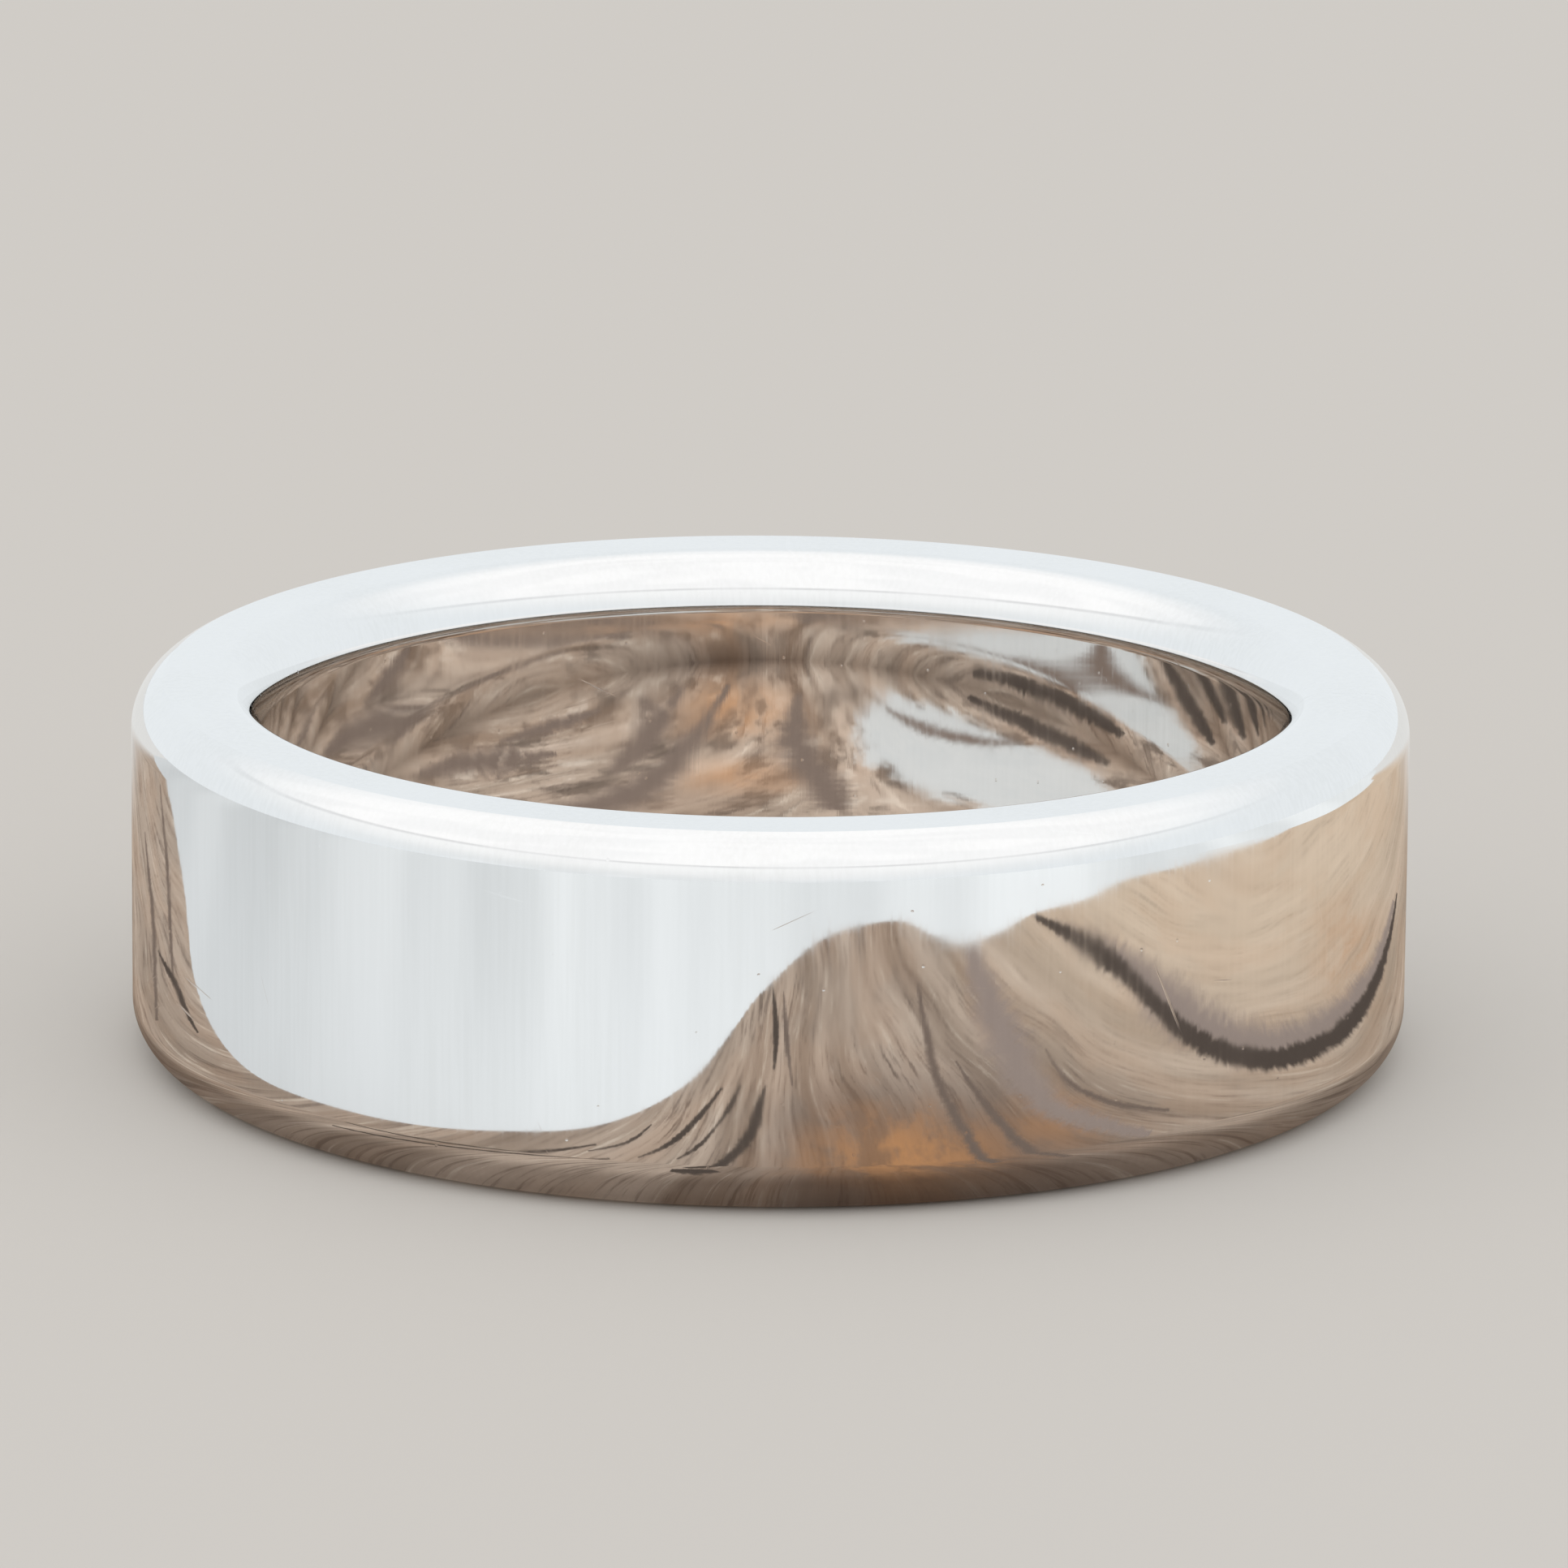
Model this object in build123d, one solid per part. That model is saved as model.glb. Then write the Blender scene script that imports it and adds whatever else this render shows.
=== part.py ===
from build123d import *
from math import cos, radians, sin, sqrt
import os

# A plain wedding band: one solid ring of precious metal, flat outside, comfort-fit inside,
# with softly rounded outer shoulders and a narrow flat land round each edge.
# The band lies on one of its edges. The origin is the centre of the lower edge plane,
# and +Z runs along the axis of the finger hole. All sizes are in millimetres.

# Driving dimensions
BORE_DIAMETER = 19.1      # finger hole at its tightest: ring size 60, 60 mm round
WALL_THICKNESS = 2.45     # metal between the finger hole and the outer wall
BAND_WIDTH = 7.0          # edge to edge, along the finger
SHOULDER_RADIUS = 1.0     # rounding between the outer wall and each edge land
SHOULDER_INSET = 0.6      # how far in from the outer wall that rounding is cut off by the land
COMFORT_LENGTH = 1.1      # stretch next to each edge over which the finger hole opens out
COMFORT_ANGLE = 50        # how far it has opened out, in degrees, where the lip takes over
LIP_RADIUS = 0.7          # smaller rounding between the comfort arc and the land

# Radii and heights that follow from them
BORE_RADIUS = BORE_DIAMETER / 2
OUTER_RADIUS = BORE_RADIUS + WALL_THICKNESS
MID_HEIGHT = BAND_WIDTH / 2
COMFORT_RADIUS = LIP_RADIUS + (COMFORT_LENGTH - LIP_RADIUS) / sin(radians(COMFORT_ANGLE))


def shoulder_height():
    """Height of the outer rounding, from where it leaves the wall to the land."""
    return sqrt(SHOULDER_RADIUS**2 - (SHOULDER_RADIUS - SHOULDER_INSET) ** 2)


def lip_centre_radius():
    """Distance from the ring's axis to the centre of the lip rounding, where the land begins."""
    between = COMFORT_RADIUS - LIP_RADIUS
    return BORE_RADIUS + COMFORT_RADIUS - between * cos(radians(COMFORT_ANGLE))


def comfort_arc():
    """Upper arc that carries the finger hole from its straight middle out to the lip."""
    centre = Vector(BORE_RADIUS + COMFORT_RADIUS, 0, BAND_WIDTH - COMFORT_LENGTH)
    lip_centre = Vector(lip_centre_radius(), 0, BAND_WIDTH - LIP_RADIUS)
    start = Vector(BORE_RADIUS, 0, BAND_WIDTH - COMFORT_LENGTH)
    end = centre + (lip_centre - centre).normalized() * COMFORT_RADIUS
    return TangentArc(start, end, tangent=(0, 0, 1))


def lip_arc(comfort):
    """Small rounding that turns the comfort arc over onto the flat land."""
    start = comfort @ 1
    end = (lip_centre_radius(), 0, BAND_WIDTH)
    return TangentArc(start, end, tangent=comfort % 1)


def shoulder_arc():
    """Rounding from the top of the outer wall in to the land, which it meets at a crisp line."""
    wall_top = (OUTER_RADIUS, 0, BAND_WIDTH - shoulder_height())
    land_edge = (OUTER_RADIUS - SHOULDER_INSET, 0, BAND_WIDTH)
    return TangentArc(wall_top, land_edge, tangent=(0, 0, 1))


def upper_edge():
    """Section of the band's upper edge, from the straight finger hole over to the outer wall."""
    comfort = comfort_arc()
    lip = lip_arc(comfort)
    shoulder = shoulder_arc()
    land = Line(lip @ 1, shoulder @ 1)
    return [comfort, lip, land, shoulder]


def make_band():
    """Turn the section round the ring's axis into one closed ring, the same at both edges."""
    upper = upper_edge()
    mid_plane = Plane((0, 0, MID_HEIGHT), x_dir=(1, 0, 0), z_dir=(0, 0, 1))
    lower = [edge.mirror(mid_plane) for edge in upper]
    bore = Line(lower[0] @ 0, upper[0] @ 0)
    wall = Line(upper[-1] @ 0, lower[-1] @ 0)
    section = make_face([bore, *upper, wall, *lower])
    return revolve(section, axis=Axis.Z, revolution_arc=360)


os.makedirs("parts", exist_ok=True)
export_step(make_band(), "parts/band.step")
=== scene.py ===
import math
import random

import bpy
from mathutils import Euler, Matrix, Vector


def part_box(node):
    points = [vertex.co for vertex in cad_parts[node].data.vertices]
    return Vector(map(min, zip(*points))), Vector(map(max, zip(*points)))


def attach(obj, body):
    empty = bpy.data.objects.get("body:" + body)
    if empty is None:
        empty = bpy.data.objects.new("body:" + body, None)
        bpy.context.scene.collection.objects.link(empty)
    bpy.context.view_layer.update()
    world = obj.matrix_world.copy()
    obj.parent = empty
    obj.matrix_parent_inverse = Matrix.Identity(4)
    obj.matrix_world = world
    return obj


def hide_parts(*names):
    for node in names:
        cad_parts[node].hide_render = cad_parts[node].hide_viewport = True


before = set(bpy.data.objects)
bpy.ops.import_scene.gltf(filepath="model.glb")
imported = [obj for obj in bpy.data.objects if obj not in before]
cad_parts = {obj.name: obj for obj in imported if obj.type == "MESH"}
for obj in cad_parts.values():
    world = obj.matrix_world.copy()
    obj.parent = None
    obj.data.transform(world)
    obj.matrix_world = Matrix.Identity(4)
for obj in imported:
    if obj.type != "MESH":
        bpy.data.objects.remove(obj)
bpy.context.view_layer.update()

# A plain polished wedding band on a pale table. Everything is in metres, in the frame's own axes:
# the band lies on its lower edge at z = 0, and +Z runs up through the finger hole.
MM = 0.001

# The section of the band. The outer radius and the width come from the frame, and the rest
# repeats the design's own values.
BAND_LOW, BAND_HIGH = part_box("band")
OUTER_RADIUS = (BAND_HIGH.x - BAND_LOW.x) / 2
BAND_WIDTH = BAND_HIGH.z - BAND_LOW.z
BORE_RADIUS = 9.55 * MM
SHOULDER_RADIUS = 1.0 * MM
SHOULDER_INSET = 0.6 * MM
COMFORT_LENGTH = 1.1 * MM
COMFORT_ANGLE = math.radians(50)
LIP_RADIUS = 0.7 * MM
HOLD = 0.01 * MM        # a narrow strip at the end of each straight run keeps its shading straight
SEGMENTS = 540          # steps round the band, fine enough for a mirror finish
COMFORT_STEPS, LIP_STEPS, SHOULDER_STEPS = 20, 14, 24
SHARP_ANGLE = math.radians(20)

# The camera: a long lens, looking down at the band, which sits low in the picture.
SENSOR = 36.0
CAMERA_ELEVATION = math.radians(14.891)
CAMERA_DISTANCE = 20.063 * OUTER_RADIUS
CAMERA_ROLL = math.radians(0.457)
LENS = 293.3
AIM_RIGHT = 0.00109
AIM_UP = 0.005728

# Light bounces: enough for a mirror that sees itself inside the finger hole.
BOUNCES = 24

# Heights of the stage's flat layers, all under the band.
FLOOR_HEIGHT = -0.05 * MM
SHEET_HEIGHT = -0.04 * MM
BOARD_HEIGHT = -0.03 * MM
SOFT_HEIGHT = -0.025 * MM
STREAK_HEIGHT = -0.02 * MM
CRACK_HEIGHT = -0.01 * MM
FLOOR_RADIUS = 3000     # millimetres, as are all places and lengths on the stage below

# Part of the board's brightness is its own, so that the band's shade doesn't hide it.
OWN_LIGHT_SHARE = 0.25
OWN_LIGHT_INSIDE, OWN_LIGHT_OUTSIDE = 4.0, 2.2
OWN_LIGHT_FROM, OWN_LIGHT_TO = 8.5, 11.0       # millimetres from the band's axis

# Linear colours.
FLOOR_COLOUR = (0.64, 0.605, 0.565)
METAL_DARKER, METAL_LIGHTER = (0.885, 0.885, 0.88), (0.915, 0.915, 0.912)
METAL_BROAD, METAL_MARK = (0.93, 0.93, 0.93), (0.97, 0.97, 0.97)
# The sheet's fold colour is painted shade.
SHEET_FOLD_SHADE, SHEET_FLAT, SHEET_NEAR = (0.72, 0.74, 0.745), (0.87, 0.89, 0.895), (0.84, 0.865, 0.875)
WOOD_DARKER, WOOD_LIGHTER = (0.22, 0.167, 0.128), (0.42, 0.335, 0.27)
WOOD_RIGHT, WOOD_LEFT, WOOD_BEHIND = (0.61, 0.49, 0.37), (0.40, 0.325, 0.265), (0.60, 0.595, 0.58)
GRAIN_DARK, GRAIN_LIGHT = (0.12, 0.09, 0.072), (0.62, 0.535, 0.445)
# The next three colours are painted shadow where the band's shade falls on the wood: in front of it, at
# its foot and in a rim round it.
WOOD_FRONT_PAINTED_SHADOW, WOOD_FOOT_PAINTED_SHADOW, WOOD_RIM_PAINTED_SHADOW = (0.125, 0.09, 0.072), (0.062, 0.036, 0.024), (0.052, 0.032, 0.022)
MOTTLE_DARK, MOTTLE_LIGHT = (0.085, 0.065, 0.052), (0.52, 0.45, 0.38)
RUST_COLOUR, PALE_COLOUR = (0.40, 0.205, 0.095), (0.46, 0.472, 0.468)
SOFT_COLOUR, STREAK_COLOUR, CRACK_COLOUR = (0.25, 0.20, 0.175), (0.145, 0.11, 0.09), (0.07, 0.055, 0.046)
SKY_LOW, SKY_HIGH, SKY_BRIGHT = (0.80, 0.82, 0.825), (0.98, 0.99, 0.99), (1.04, 1.04, 1.04)
SKY_STRENGTH = 1.03
SKY_BRIGHT_WAY = (-0.13, -0.42, 0.90)
SKY_LINE, SKY_PUFF, SKY_BEHIND = (0.62, 0.62, 0.63), (0.95, 0.955, 0.96), (0.83, 0.87, 0.895)


def arc(centre, radius, start, end, steps):
    """Points (r, z) along an arc, angles in radians from the outward direction."""
    angles = [start + (end - start) * i / steps for i in range(steps + 1)]
    return [(centre[0] + radius * math.cos(a), centre[1] + radius * math.sin(a)) for a in angles]


def upper_section():
    """Points (r, z) of the upper half of the section, from the finger hole over the edge to the wall."""
    between = (COMFORT_LENGTH - LIP_RADIUS) / math.sin(COMFORT_ANGLE)
    comfort_radius = LIP_RADIUS + between
    comfort_centre = (BORE_RADIUS + comfort_radius, BAND_WIDTH - COMFORT_LENGTH)
    lip_centre = (comfort_centre[0] - between * math.cos(COMFORT_ANGLE), BAND_WIDTH - LIP_RADIUS)
    crest = math.acos((SHOULDER_RADIUS - SHOULDER_INSET) / SHOULDER_RADIUS)
    shoulder_centre = (OUTER_RADIUS - SHOULDER_RADIUS, BAND_WIDTH - SHOULDER_RADIUS * math.sin(crest))
    comfort = arc(comfort_centre, comfort_radius, math.pi, math.pi - COMFORT_ANGLE, COMFORT_STEPS)
    lip = arc(lip_centre, LIP_RADIUS, math.pi - COMFORT_ANGLE, math.pi / 2, LIP_STEPS)[1:]
    shoulder = arc(shoulder_centre, SHOULDER_RADIUS, crest, 0, SHOULDER_STEPS)
    bore_end = (BORE_RADIUS, comfort[0][1] - HOLD)
    land_start = (lip[-1][0] + HOLD, BAND_WIDTH)
    wall_end = (OUTER_RADIUS, shoulder[-1][1] - HOLD)
    return [bore_end] + comfort + lip + [land_start] + shoulder + [wall_end]


def lathe(name, section):
    """One closed mesh: the section, a closed loop of (r, z) points, turned round the Z axis."""
    verts = []
    for i in range(SEGMENTS):
        turn = 2 * math.pi * i / SEGMENTS
        verts += [(r * math.cos(turn), r * math.sin(turn), z) for r, z in section]
    count = len(section)
    faces = []
    for i in range(SEGMENTS):
        a, b = i * count, (i + 1) % SEGMENTS * count
        for j in range(count):
            k = (j + 1) % count
            faces.append((a + j, a + k, b + k, b + j))
    mesh = bpy.data.meshes.new(name)
    mesh.from_pydata(verts, [], faces)
    mesh.polygons.foreach_set("use_smooth", [True] * len(faces))
    mesh.update()
    return mesh


def make_band():
    upper = upper_section()
    lower = [(r, BAND_WIDTH - z) for r, z in reversed(upper)]
    mesh = lathe("polished_band", upper + lower)
    mesh.set_sharp_from_angle(angle=SHARP_ANGLE)
    mesh.materials.append(metal_material())
    piece = bpy.data.objects.new("polished_band", mesh)
    bpy.context.scene.collection.objects.link(piece)
    return piece


# Shader nodes

def nodes_of(material):
    material.use_nodes = True
    tree = material.node_tree
    tree.nodes.clear()
    return tree


def add(tree, kind, inputs, **settings):
    """A node of that kind; an input is a number, a colour or another node's output."""
    node = tree.nodes.new("ShaderNode" + kind)
    for name, value in settings.items():
        setattr(node, name, value)
    for name, value in inputs.items():
        if isinstance(value, bpy.types.NodeSocket):
            tree.links.new(value, node.inputs[name])
        else:
            node.inputs[name].default_value = value
    return node


def math_of(tree, operation, a, b=0.0, c=0.0):
    return add(tree, "Math", {0: a, 1: b, 2: c}, operation=operation).outputs[0]


def vector_of(tree, operation, a, b):
    node = add(tree, "VectorMath", {0: a, "Scale" if operation == "SCALE" else 1: b}, operation=operation)
    return node.outputs["Value" if operation in ("DOT_PRODUCT", "DISTANCE", "LENGTH") else "Vector"]


def fade(tree, value, start, end, low=0.0, high=1.0):
    """low below start and high above end, with a smooth change between."""
    inputs = {"Value": value, "From Min": start, "From Max": end, "To Min": low, "To Max": high}
    return add(tree, "MapRange", inputs, interpolation_type="SMOOTHSTEP").outputs[0]


def blend(tree, factor, a, b):
    node = add(tree, "Mix", {"Factor": factor}, data_type="RGBA")
    for socket, value in ((node.inputs[6], a), (node.inputs[7], b)):
        if isinstance(value, bpy.types.NodeSocket):
            tree.links.new(value, socket)
        else:
            socket.default_value = (*value, 1)
    return node.outputs[2]


def noise(tree, place, stretch, detail=3.0, rough=0.5):
    """Noise over a place given in millimetres; stretch is its cells per millimetre along each axis."""
    where = vector_of(tree, "MULTIPLY", place, stretch)
    inputs = {"Vector": where, "Scale": 1.0, "Detail": detail, "Roughness": rough}
    return add(tree, "TexNoise", inputs).outputs["Fac"]


def place_in_mm(tree):
    here = add(tree, "TexCoord", {}).outputs["Object"]
    return vector_of(tree, "MULTIPLY", here, (1000, 1000, 1000))


def finish(tree, shader):
    add(tree, "OutputMaterial", {"Surface": shader.outputs[0]})


def metal_material():
    """Mirror-polished white gold: fine axial lines, a few hairlines and specks, uneven gloss."""
    material = bpy.data.materials.new("polished_white_metal")
    tree = nodes_of(material)
    place = place_in_mm(tree)
    axes = add(tree, "SeparateXYZ", {0: place})
    turn = math_of(tree, "ARCTAN2", axes.outputs[0], math_of(tree, "MULTIPLY", axes.outputs[1], -1.0))
    # Millimetres round the band and along its axis, for the scratches.
    along = math_of(tree, "MULTIPLY", turn, OUTER_RADIUS / MM)
    unrolled = add(tree, "CombineXYZ", {0: along, 1: axes.outputs[2]}).outputs[0]

    lines = noise(tree, place, (11, 11, 0.35), 2)
    broad = noise(tree, place, (0.35, 0.35, 0.12), 2)
    smudge = noise(tree, place, (0.55, 0.55, 0.8), 4, 0.6)

    hairlines = None
    for angle, seed in ((0.16, 3.0), (-0.42, 21.0), (1.15, 47.0)):
        inputs = {"Vector": unrolled, "Rotation": (0, 0, angle), "Location": (seed, seed, 0)}
        turned = add(tree, "Mapping", inputs).outputs[0]
        fine = noise(tree, turned, (0.22, 9.0, 1), 1)
        where = noise(tree, turned, (0.28, 0.5, 1), 1)
        line = math_of(tree, "MULTIPLY", fade(tree, fine, 0.735, 0.775), fade(tree, where, 0.56, 0.66))
        hairlines = line if hairlines is None else math_of(tree, "MAXIMUM", hairlines, line)
    cells = add(tree, "TexVoronoi", {"Vector": unrolled, "Scale": 0.55}, voronoi_dimensions="2D")
    specks = fade(tree, cells.outputs["Distance"], 0.008, 0.018, 1, 0)

    tone = blend(tree, fade(tree, lines, 0.3, 0.7), METAL_DARKER, METAL_LIGHTER)
    tone = blend(tree, fade(tree, broad, 0.35, 0.65, 0, 0.5), tone, METAL_BROAD)
    marks = math_of(tree, "MAXIMUM", hairlines, math_of(tree, "MULTIPLY", specks, 0.5))
    tone = blend(tree, math_of(tree, "MULTIPLY", marks, 0.35), tone, METAL_MARK)
    gloss = fade(tree, smudge, 0.35, 0.75, 0.022, 0.065)
    gloss = math_of(tree, "MULTIPLY_ADD", fade(tree, lines, 0.45, 0.75), 0.02, gloss)
    gloss = math_of(tree, "MULTIPLY_ADD", marks, 0.16, gloss)

    fine_bump = add(tree, "Bump", {"Strength": 1.0, "Distance": 0.00025 * MM, "Height": lines})
    mark_bump = add(tree, "Bump", {"Strength": 1.0, "Distance": 0.0015 * MM, "Height": marks,
                                   "Normal": fine_bump.outputs[0]}, invert=True)
    shader = add(tree, "BsdfPrincipled", {"Base Color": tone, "Metallic": 1.0, "Roughness": gloss,
                                          "Normal": mark_bump.outputs[0]})
    finish(tree, shader)
    return material


def matt(tree, colour):
    return add(tree, "BsdfDiffuse", {"Color": colour})


def part_lit(tree, colour):
    """Matt, with part of its brightness its own, most of all in the shade inside the band."""
    out = vector_of(tree, "DISTANCE", place_in_mm(tree), (0, 0, 0))
    own = fade(tree, out, OWN_LIGHT_FROM, OWN_LIGHT_TO, OWN_LIGHT_INSIDE, OWN_LIGHT_OUTSIDE)
    glow = add(tree, "Emission", {"Color": colour, "Strength": own})
    lit = matt(tree, colour)
    return add(tree, "MixShader", {0: OWN_LIGHT_SHARE, 1: lit.outputs[0], 2: glow.outputs[0]})


def floor_material():
    material = bpy.data.materials.new("floor")
    tree = nodes_of(material)
    finish(tree, matt(tree, (*FLOOR_COLOUR, 1)))
    return material


def sheet_material():
    """White with soft darker folds of painted shade that fan out from the band, and a little darker to
    the left.
    """
    material = bpy.data.materials.new("white_sheet")
    tree = nodes_of(material)
    place = place_in_mm(tree)
    axes = add(tree, "SeparateXYZ", {0: place})
    ahead = math_of(tree, "SUBTRACT", FAN_CENTRE_Y, axes.outputs[1])
    turn = math_of(tree, "ARCTAN2", axes.outputs[0], ahead)
    fan = add(tree, "CombineXYZ", {0: turn}).outputs[0]
    # Painted shade: darker stripes on the flat sheet stand in for the shade in its folds.
    fold_shade = noise(tree, fan, (1.9, 1, 1), 2)
    tone = blend(tree, fade(tree, fold_shade, 0.38, 0.62), SHEET_FOLD_SHADE, SHEET_FLAT)
    near = fade(tree, vector_of(tree, "DISTANCE", place, (0, 0, 0)), 14, 34, 0.15, 1)
    tone = blend(tree, near, SHEET_NEAR, tone)
    tone = vector_of(tree, "SCALE", tone, fade(tree, turn, -1.9, -0.3, 0.88, 1.09))
    finish(tree, matt(tree, tone))
    return material


def spot(tree, place, centre, reach):
    """1 at the centre, fading to 0 at that distance, in millimetres."""
    return fade(tree, vector_of(tree, "DISTANCE", place, (*centre, BOARD_HEIGHT / MM)), 0.0, reach, 1, 0)


def scaled(tree, mask, strength):
    return math_of(tree, "MULTIPLY", mask, strength)


def wood_grain(tree, place, across):
    """The wood's grain along Y, and the place that its finer patterns follow; bolder on the left."""
    sway = noise(tree, place, (0.05, 0.045, 1), 2)
    shift = math_of(tree, "MULTIPLY_ADD", sway, 9.0, across)
    along = add(tree, "SeparateXYZ", {0: place}).outputs[1]
    grain_place = add(tree, "CombineXYZ", {0: shift, 1: along}).outputs[0]
    coarse = noise(tree, grain_place, (0.55, 0.035, 1), 4, 0.6)
    fine = noise(tree, grain_place, (2.6, 0.14, 1), 5, 0.7)
    thin = noise(tree, grain_place, (7.0, 0.3, 1), 3, 0.6)
    wood = blend(tree, fade(tree, coarse, 0.30, 0.70), WOOD_DARKER, WOOD_LIGHTER)
    wood = blend(tree, scaled(tree, fade(tree, across, 8, 27), 0.72), wood, WOOD_RIGHT)
    wood = blend(tree, scaled(tree, fade(tree, across, -22, -10, 1, 0), 0.6), wood, WOOD_LEFT)
    bold = fade(tree, across, 9, 19, 1, 0.3)
    for mask, colour in ((fade(tree, fine, 0.53, 0.64, 0, 0.7), GRAIN_DARK),
                         (fade(tree, thin, 0.55, 0.66, 0, 0.55), GRAIN_DARK),
                         (fade(tree, fine, 0.32, 0.45, 0.6, 0), GRAIN_LIGHT)):
        wood = blend(tree, scaled(tree, mask, bold), wood, colour)
    return wood, grain_place


def wood_material():
    """Weathered wood: rusty in front, with painted shadow in front of the band and round its foot,
    mottled under the band, paler to the right and behind.
    """
    material = bpy.data.materials.new("wood_board")
    tree = nodes_of(material)
    place = place_in_mm(tree)
    axes = add(tree, "SeparateXYZ", {0: place})
    wood, grain_place = wood_grain(tree, place, axes.outputs[0])
    patches = fade(tree, noise(tree, grain_place, (0.30, 0.12, 1), 4, 0.6), 0.45, 0.60)
    mottle = noise(tree, grain_place, (0.75, 0.38, 1), 4, 0.65)
    out = vector_of(tree, "DISTANCE", place, (0, 0, BOARD_HEIGHT / MM))

    # Painted shadow in front of the band and at its foot, and mottled under it.
    for centre, reach, strength, colour in PAINTED_SHADOW_SPOTS:
        wood = blend(tree, scaled(tree, spot(tree, place, centre, reach), strength), wood, colour)
    within = fade(tree, out, 8.5, 10.5, 1, 0)
    dark = scaled(tree, within, fade(tree, mottle, 0.50, 0.60, 0, 0.75))
    wood = blend(tree, dark, wood, MOTTLE_DARK)
    light = scaled(tree, within, fade(tree, mottle, 0.36, 0.45, 0.6, 0))
    wood = blend(tree, light, wood, MOTTLE_LIGHT)

    # Rusty spots, broken up by the mottling, and a faint rust in patches everywhere.
    rusty = None
    for centre, reach, strength in RUSTY_SPOTS:
        here = scaled(tree, spot(tree, place, centre, reach), strength)
        rusty = here if rusty is None else math_of(tree, "MAXIMUM", rusty, here)
    rusty = scaled(tree, rusty, fade(tree, mottle, 0.40, 0.60, 1, 0.35))
    rusty = math_of(tree, "MULTIPLY_ADD", patches, 0.10, rusty)
    wood = blend(tree, rusty, wood, RUST_COLOUR)

    # A rim of painted shadow close round the band's foot.
    painted_rim_shadow = scaled(tree, fade(tree, out, 10.8, 11.6), fade(tree, out, 12.2, 13.3, 0.5, 0))
    wood = blend(tree, painted_rim_shadow, wood, WOOD_RIM_PAINTED_SHADOW)

    # The pale patch under the band, with a ragged outline.
    ragged = math_of(tree, "MULTIPLY_ADD", mottle, 0.9, -0.45)
    inputs = {"Vector": place, "Location": PALE_PATCH_SHIFT, "Scale": PALE_PATCH_SCALE}
    pale = add(tree, "Mapping", inputs)
    reach = math_of(tree, "ADD", vector_of(tree, "LENGTH", pale.outputs[0], (0, 0, 0)), ragged)
    wood = blend(tree, fade(tree, reach, 0.80, 1.0, 0.9, 0), wood, PALE_COLOUR)
    # Pale behind the band, so that its back reads as metal and not as wood.
    aside = scaled(tree, math_of(tree, "ABSOLUTE", axes.outputs[0]), -0.6)
    behind = math_of(tree, "ADD", axes.outputs[1], aside)
    wood = blend(tree, fade(tree, behind, 4, 17), wood, WOOD_BEHIND)
    finish(tree, part_lit(tree, wood))
    return material


def streak_material(name, colour, solid):
    """A streak that fades towards its sides; solid is how much of its width is fully covered."""
    material = bpy.data.materials.new(name)
    tree = nodes_of(material)
    place = place_in_mm(tree)
    across = add(tree, "Attribute", {}, attribute_name="across").outputs["Fac"]
    ragged = noise(tree, place, (1.2, 6.0, 1), 3)
    reach = math_of(tree, "MULTIPLY_ADD", ragged, 0.7, math_of(tree, "ABSOLUTE", across))
    cover = fade(tree, reach, solid + 0.35, 1.3, 1, 0)
    empty = add(tree, "BsdfTransparent", {})
    colour_node = part_lit(tree, (*colour, 1))
    finish(tree, add(tree, "MixShader", {0: cover, 1: empty.outputs[0], 2: colour_node.outputs[0]}))
    return material


# The stage

def smooth_curve(points, samples=24):
    """A smooth line through the given points (Catmull-Rom)."""
    line = []
    last = len(points) - 1
    for i in range(last):
        p0, p1, p2, p3 = (Vector(points[min(max(k, 0), last)]) for k in range(i - 1, i + 3))
        for step in range(samples):
            t = step / samples
            line.append(0.5 * (2 * p1 + (p2 - p0) * t + (2 * p0 - 5 * p1 + 4 * p2 - p3) * t * t
                               + (3 * p1 - p0 - 3 * p2 + p3) * t ** 3))
    return line + [Vector(points[-1])]


def stage_mesh(name, verts, faces, material):
    mesh = bpy.data.meshes.new(name)
    mesh.from_pydata(verts, [], faces)
    mesh.materials.append(material)
    thing = bpy.data.objects.new(name, mesh)
    bpy.context.scene.collection.objects.link(thing)
    return thing


def flat_sheet(name, outline, height, material):
    """A flat sheet with that outline, in millimetres."""
    verts = [(p[0] * MM, p[1] * MM, height) for p in outline]
    return stage_mesh(name, verts, [tuple(range(len(verts)))], material)


def flat_streak(name, points, height, material, rng):
    """A flat streak along listed (x, y, width) points in millimetres, a little uneven in width."""
    line = smooth_curve(points, samples=14)
    verts = []
    for i, p in enumerate(line):
        ahead = line[min(i + 1, len(line) - 1)] - line[max(i - 1, 0)]
        side = Vector((-ahead.y, ahead.x)).normalized()
        for sign in (-1, 1):
            reach = sign * p.z * STREAK_SPREAD / 2 * rng.uniform(*STREAK_UNEVEN)
            verts.append(((p.x + side.x * reach) * MM, (p.y + side.y * reach) * MM, height))
    faces = [(2 * i, 2 * i + 1, 2 * i + 3, 2 * i + 2) for i in range(len(line) - 1)]
    streak = stage_mesh(name, verts, faces, material)
    across = streak.data.attributes.new("across", "FLOAT", "POINT")
    across.data.foreach_set("value", [-1.0, 1.0] * len(line))
    return streak


def only_in_reflections(thing):
    thing.visible_camera = False
    thing.visible_diffuse = False
    thing.visible_shadow = False
    thing.visible_transmission = False


def circle(radius, count=96):
    return [(radius * math.cos(2 * math.pi * i / count), radius * math.sin(2 * math.pi * i / count))
            for i in range(count)]


# The folds in the sheet fan out from this point on the Y axis, in millimetres.
FAN_CENTRE_Y = -6.0
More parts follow.
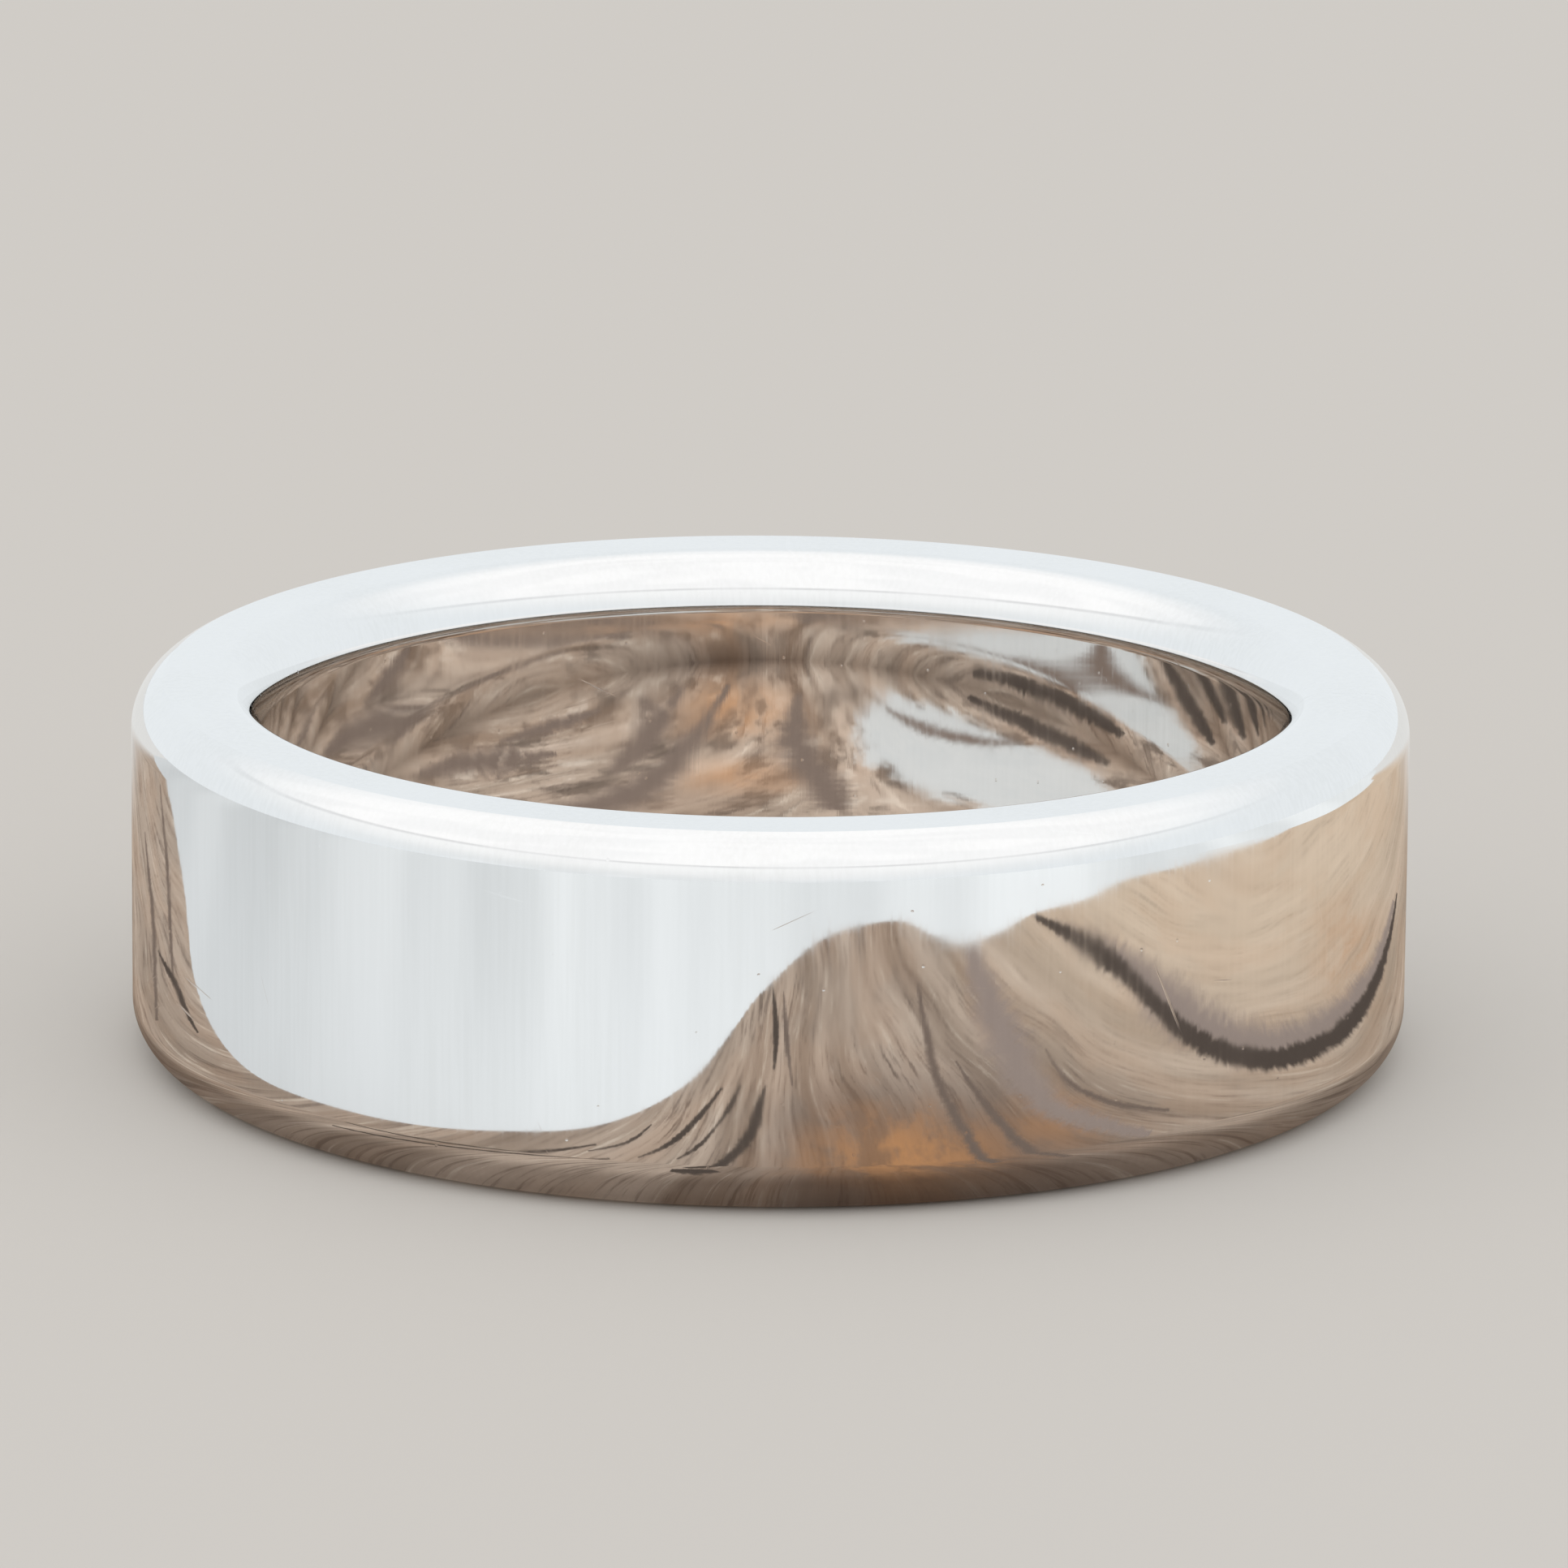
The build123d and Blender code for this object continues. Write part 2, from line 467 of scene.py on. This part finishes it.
# The pale patch on the board under the band, an oval with its centre to the left of the band's axis.
PALE_PATCH_HALF = (2.9, 6.6)
PALE_PATCH_CENTRE_X = -5.1
PALE_PATCH_SCALE = (1 / PALE_PATCH_HALF[0], 1 / PALE_PATCH_HALF[1], 0)
PALE_PATCH_SHIFT = (-PALE_PATCH_CENTRE_X / PALE_PATCH_HALF[0], 0, 0)
# Spots of painted shadow on the wood in front of the band and at its foot: centre, reach, strength and
# colour.
PAINTED_SHADOW_SPOTS = [((6, -14.5), 9, 0.85, WOOD_FRONT_PAINTED_SHADOW), ((2.6, -17.8), 4.5, 0.6, WOOD_FRONT_PAINTED_SHADOW),
              ((2, -12.2), 6.0, 0.75, WOOD_FOOT_PAINTED_SHADOW)]
# Rusty spots in the wood: centre, reach and strength.
RUSTY_SPOTS = [((4.0, -15.2), 5.0, 0.9), ((1.4, -6.0), 4.0, 0.75), ((0.6, -0.6), 2.2, 0.6),
               ((9.5, -14), 3.0, 0.5), ((20, 2), 6.0, 0.4)]
# A streak's mesh is wider than the streak by this factor, to leave room for its soft sides, and its
# width varies between two factors at random.
STREAK_SPREAD = 1.6
STREAK_UNEVEN = (0.85, 1.15)
STREAK_SEED = 7
# The board's near edge, from its far left round the front to its far right, and its two far corners.
BOARD_EDGE = [
    (-46, 42), (-34, 26), (-27, 14.5), (-25.5, 10), (-22.5, 4.7), (-18.4, 0.2), (-14.3, -5.5),
    (-11.8, -9.6), (-8.5, -13.6), (-5.8, -16.4), (-3.5, -20.5), (-2.1, -24.1), (-0.4, -27.2),
    (3.1, -30.3), (6.5, -31.1), (10.3, -30.4), (12.2, -28.3), (13.8, -26.6), (16.6, -25.5),
    (19.9, -24.4), (23.5, -21.4), (26.6, -18.7), (29, -14.3), (31.1, -8.1), (31.8, 0.5), (32.6, 9.4),
    (40, 25), (56, 40), (90, 80)]
BOARD_FAR_CORNERS = [(900, 900), (-900, 900)]
# Streaks in the wood, as (x, y, width) points: pale ones, brown ones, and dark cracks over them.
SOFT_STREAKS = [
    [(17.4, 9, 0.6), (17.0, 1, 1.9), (16.5, -5, 2.6), (17.4, -9, 3.2), (19.2, -12.3, 3.6),
     (20.6, -15.5, 2.6), (20.8, -19, 2.0), (20.2, -22.8, 0.7)],
    [(14.3, -26.0, 1.2), (12.1, -19.8, 2.6), (10.2, -15.4, 1.6), (10.1, -12.8, 1.2), (10.2, -10.8, 0.6)],
]
BROWN_STREAKS = [
    [(9.6, -25.6, 0.2), (8.4, -21.8, 0.5), (7.5, -19.3, 0.5), (6.5, -15.5, 0.5), (5.3, -12.5, 0.4)],
    [(8.9, -19.8, 0.1), (8.2, -16.4, 0.4), (7.1, -12.7, 0.5), (6.6, -11.4, 0.3)],
    [(12.9, -17.4, 0.1), (11.8, -15.0, 0.3), (11.6, -12.7, 0.4), (11.9, -10.6, 0.2)],
    [(1.0, -27.2, 0.1), (1.0, -24, 0.3), (1.1, -20.6, 0.1)],
    [(-25, 14, 0.2), (-22, 8, 0.6), (-17, 1.5, 0.2)],
    [(-19.5, 13, 0.2), (-18, 7, 0.7), (-14, 0, 0.2)],
    [(2.5, 8, 0.3), (2.0, 3, 1.2), (2.6, -3, 0.8), (2.2, -8, 0.3)],
    [(-0.7, 2.2, 0.3), (-1.0, 0, 1.0), (-0.9, -3.6, 1.3), (-1.3, -7.4, 0.4)],
    [(3.4, 0.4, 0.3), (3.9, -1.8, 1.2), (4.4, -4.4, 1.0), (4.4, -7.2, 0.3)],
    [(5.0, 3.4, 0.2), (6.2, 2.2, 0.7), (7.4, 1.6, 0.2)],
    [(6.2, 6.5, 0.5), (6.6, 3.5, 2.2), (5.8, 0.5, 0.4)],
    [(3.8, -1.5, 0.4), (4.6, -4, 1.6), (6.0, -5.6, 0.5)],
    [(7.8, 2.0, 0.3), (7.6, -1.0, 1.2), (7.0, -3.4, 0.3)],
    [(-5.0, -5.2, 0.2), (-5.6, -2.8, 0.9), (-6.5, -0.7, 0.9), (-7.6, 1.2, 0.3)],
]
DARK_CRACKS = [
    [(16.9, 9.8, 0.25), (16.5, 4, 0.7), (16.0, 0, 1.0), (15.6, -3, 1.1), (15.4, -6.2, 1.3),
     (16.1, -8.6, 1.3), (17.2, -10.8, 1.2), (18.6, -13, 1.0), (19.9, -15.5, 1.1), (20.5, -18.5, 1.5),
     (20.4, -21, 1.0), (19.6, -24.3, 0.3)],
    [(-2.0, -20.3, 0.08), (-2.6, -18.1, 0.22), (-3.1, -16.2, 0.2), (-3.7, -15.0, 0.06)],
    [(-1.2, -20.6, 0.06), (-1.5, -19.1, 0.2), (-1.8, -17.8, 0.1), (-2.2, -16.2, 0.16),
     (-2.6, -15.3, 0.05)],
    [(-0.1, -20.6, 0.1), (-0.4, -18.8, 0.35), (-0.6, -17.2, 0.4), (-1.3, -15.2, 0.3), (-2.0, -14.0, 0.3)],
    [(0.3, -21.7, 0.08), (0.45, -24.4, 0.28), (0.3, -27.6, 0.08)],
    [(-4.1, -17.2, 0.05), (-4.4, -15.8, 0.14), (-5.2, -14.7, 0.05)],
    [(-1.2, -13.7, 0.4), (-1.7, -13.4, 0.8), (-2.2, -13.3, 0.4)],
    [(-10.4, -9.6, 0.1), (-7.5, -12.4, 0.22), (-5.2, -15.2, 0.1)],
    [(-9.4, -9.0, 0.1), (-6.2, -12.8, 0.22), (-4.4, -14.6, 0.1)],
    [(-17, 4, 0.1), (-16.8, 1, 0.4), (-15.2, -2.5, 0.1)],
    [(-9.0, -3.4, 0.3), (-9.1, 0.4, 1.1), (-8.4, 3.6, 1.0), (-7.3, 5.8, 0.4)],
]


def make_table():
    floor = flat_sheet("floor", circle(FLOOR_RADIUS), FLOOR_HEIGHT, floor_material())
    floor.visible_glossy = False
    board = smooth_curve(BOARD_EDGE) + BOARD_FAR_CORNERS
    things = [flat_sheet("white_sheet", circle(FLOOR_RADIUS), SHEET_HEIGHT, sheet_material()),
              flat_sheet("wood_board", board, BOARD_HEIGHT, wood_material())]
    rng = random.Random(STREAK_SEED)
    kinds = (("soft_streak", SOFT_STREAKS, SOFT_HEIGHT, SOFT_COLOUR, 0.1),
             ("brown_streak", BROWN_STREAKS, STREAK_HEIGHT, STREAK_COLOUR, 0.1),
             ("dark_crack", DARK_CRACKS, CRACK_HEIGHT, CRACK_COLOUR, 0.45))
    for name, streaks, height, colour, solid in kinds:
        material = streak_material(name, colour, solid)
        for i, points in enumerate(streaks):
            things.append(flat_streak(f"{name}_{i + 1}", points, height, material, rng))
    for thing in things:
        only_in_reflections(thing)


def make_sky():
    """A soft sky: brightest high up in front of the band, a little greyer low down and behind it."""
    world = bpy.data.worlds.new("studio")
    bpy.context.scene.world = world
    world.use_nodes = True
    tree = world.node_tree
    tree.nodes.clear()
    way = add(tree, "TexCoord", {}).outputs["Generated"]
    height = add(tree, "SeparateXYZ", {0: way}).outputs[2]
    low = blend(tree, fade(tree, height, 0.0, 0.45), SKY_LOW, SKY_HIGH)
    line = scaled(tree, fade(tree, height, 0.46, 0.50), fade(tree, height, 0.515, 0.545, 1, 0))
    front = blend(tree, fade(tree, height, 0.50, 0.56), low, SKY_BRIGHT)
    front = blend(tree, scaled(tree, line, 0.6), front, SKY_LINE)
    puffs = add(tree, "TexNoise", {"Vector": way, "Scale": 3.0, "Detail": 1.0}).outputs["Fac"]
    front = blend(tree, fade(tree, puffs, 0.40, 0.62, 0.0, 0.55), front, SKY_PUFF)
    toward = fade(tree, vector_of(tree, "DOT_PRODUCT", way, SKY_BRIGHT_WAY), 0.12, 0.68)
    colour = blend(tree, toward, SKY_BEHIND, front)
    back = add(tree, "Background", {"Color": colour, "Strength": SKY_STRENGTH})
    add(tree, "OutputWorld", {"Surface": back.outputs[0]})


def make_camera():
    data = bpy.data.cameras.new("camera")
    data.sensor_width = SENSOR
    data.lens = LENS
    data.clip_start = 0.01
    camera = bpy.data.objects.new("camera", data)
    centre = Vector((0, 0, BAND_WIDTH / 2))
    back = Vector((0, -math.cos(CAMERA_ELEVATION), math.sin(CAMERA_ELEVATION)))
    camera.location = centre + back * CAMERA_DISTANCE
    aim = (-back).to_track_quat("-Z", "Y").to_matrix()
    roll = Matrix.Rotation(CAMERA_ROLL, 3, "Z")
    swing = Euler((math.atan(AIM_UP), -math.atan(AIM_RIGHT), 0)).to_matrix()
    camera.rotation_euler = (aim @ swing @ roll).to_euler()
    bpy.context.scene.collection.objects.link(camera)
    bpy.context.scene.camera = camera


band = make_band()
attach(band, "root")
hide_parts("band")
make_table()
make_sky()
make_camera()
scene = bpy.context.scene
scene.view_settings.view_transform = "Standard"
scene.cycles.max_bounces = BOUNCES
scene.cycles.glossy_bounces = BOUNCES
